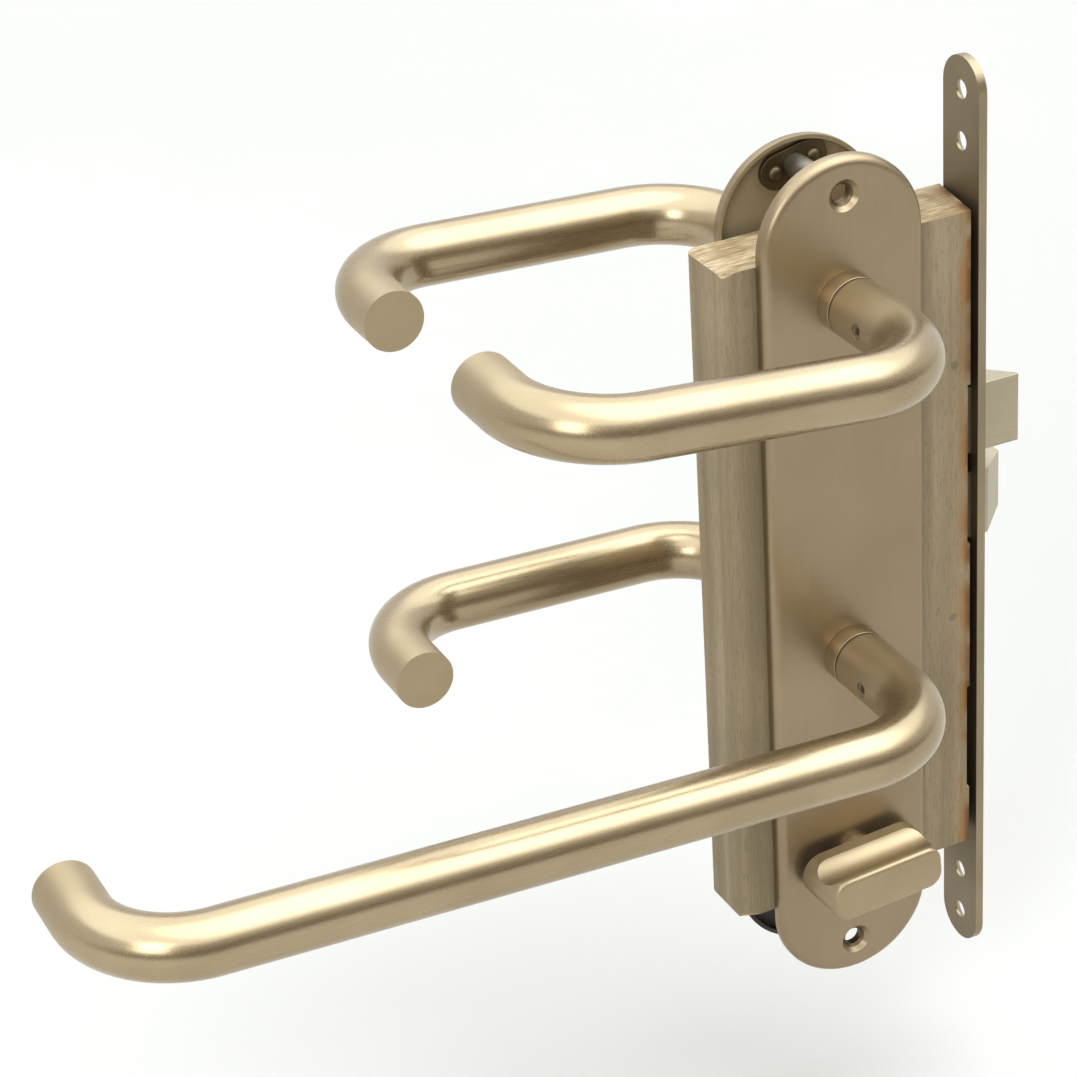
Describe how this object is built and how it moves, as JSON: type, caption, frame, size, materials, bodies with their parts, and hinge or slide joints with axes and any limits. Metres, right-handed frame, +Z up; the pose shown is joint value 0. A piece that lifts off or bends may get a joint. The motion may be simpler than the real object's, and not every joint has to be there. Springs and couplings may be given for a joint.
{
  "type": "toilet door lock",
  "caption": "Toilet door mortise lock with long hollow cover plates, linked round-bar levers, sprung latch, sliding dead bolt worked by a thumb-turn, shown on a short wooden door section.",
  "frame": {"origin": "centre of the forend's outer face", "axes": "+X out of the door's edge in the direction the bolts come out, -Y towards the side with the thumb-turn, +Z up along the forend"},
  "size_m": [0.3528, 0.174, 0.329],
  "materials": {
    "satin_steel": "satin, brushed",
    "bolt_steel": "satin",
    "plated_steel": "zinc plated",
    "sintered_iron": "sintered",
    "turned_steel": "turned",
    "black_steel": "blackened steel",
    "wood": "sawn"
  },
  "bodies": {
    "base": {"forend": "satin_steel", "forend_spacers": "plated_steel", "forend_screws": "plated_steel", "door_section": "wood", "case_body": "plated_steel", "case_cover": "plated_steel", "case_screws": "plated_steel", "front_plate": "satin_steel", "rear_plate": "satin_steel", "front_pads": "satin_steel", "rear_pads": "satin_steel", "plate_posts": "plated_steel", "pad_pins": "satin_steel", "lever_collars": "satin_steel", "latch_guide": "plated_steel", "latch_spring": "plated_steel", "upper_return_spring": "plated_steel", "lower_return_spring": "plated_steel"},
    "upper_lever": {"upper_front_lever": "satin_steel", "upper_rear_lever": "satin_steel", "upper_lever_inserts": "turned_steel", "upper_grub_screws": "black_steel", "upper_spindle": "plated_steel", "upper_follower": "sintered_iron", "upper_link_pin": "plated_steel"},
    "lower_lever": {"lower_front_lever": "satin_steel", "lower_rear_lever": "satin_steel", "lower_lever_inserts": "turned_steel", "lower_grub_screws": "black_steel", "lower_spindle": "plated_steel", "lower_follower": "sintered_iron", "lower_link_pin": "plated_steel"},
    "link": {"follower_link": "plated_steel"},
    "latch": {"latch_bolt": "bolt_steel", "latch_tail": "plated_steel", "latch_rivet": "bolt_steel"},
    "turn": {"thumb_turn": "satin_steel", "turn_spindle": "plated_steel", "turn_cam": "sintered_iron", "release_disc": "satin_steel"},
    "dead": {"dead_bolt": "bolt_steel", "bolt_plate": "plated_steel", "bolt_rivets": "bolt_steel"}
  },
  "joints": [
    {"name": "lower_lever_hinge", "type": "hinge", "parent": "base", "child": "lower_lever", "pos_m": [-0.055, 0, -0.024], "axis": [0, -1, 0], "range_deg": [0, 35], "stiffness_Nm_per_rad": 1, "springref_deg": -68.75},
    {"name": "upper_lever_hinge", "type": "hinge", "parent": "base", "child": "upper_lever", "pos_m": [-0.055, 0, 0.101], "axis": [0, -1, 0], "range_deg": [0, 35], "stiffness_Nm_per_rad": 1, "springref_deg": -68.75},
    {"name": "link_pivot", "type": "hinge", "parent": "lower_lever", "child": "link", "pos_m": [-0.073, -0.0052, -0.024], "axis": [0, -1, 0], "range_deg": [-35, 0]},
    {"name": "latch_slide", "type": "slide", "parent": "base", "child": "latch", "axis": [-1, 0, 0], "range_m": [0, 0.0145], "stiffness_N_per_m": 400, "springref_m": -0.012, "deforming": ["latch_spring"]},
    {"name": "turn_hinge", "type": "hinge", "parent": "base", "child": "turn", "pos_m": [-0.055, 0, -0.102], "axis": [0, -1, 0], "range_deg": [0, 90]},
    {"name": "dead_bolt_slide", "type": "slide", "parent": "base", "child": "dead", "axis": [-1, 0, 0], "range_m": [0, 0.013]}
  ],
  "couplings": [
    {"joint": "upper_lever_hinge", "follows": "lower_lever_hinge", "ratio": 1},
    {"joint": "link_pivot", "follows": "lower_lever_hinge", "ratio": -1},
    {"joint": "latch_slide", "follows": "lower_lever_hinge", "m_per_rad": 0.023737},
    {"joint": "turn_hinge", "follows": "dead_bolt_slide", "rad_per_m": 120.83}
  ]
}
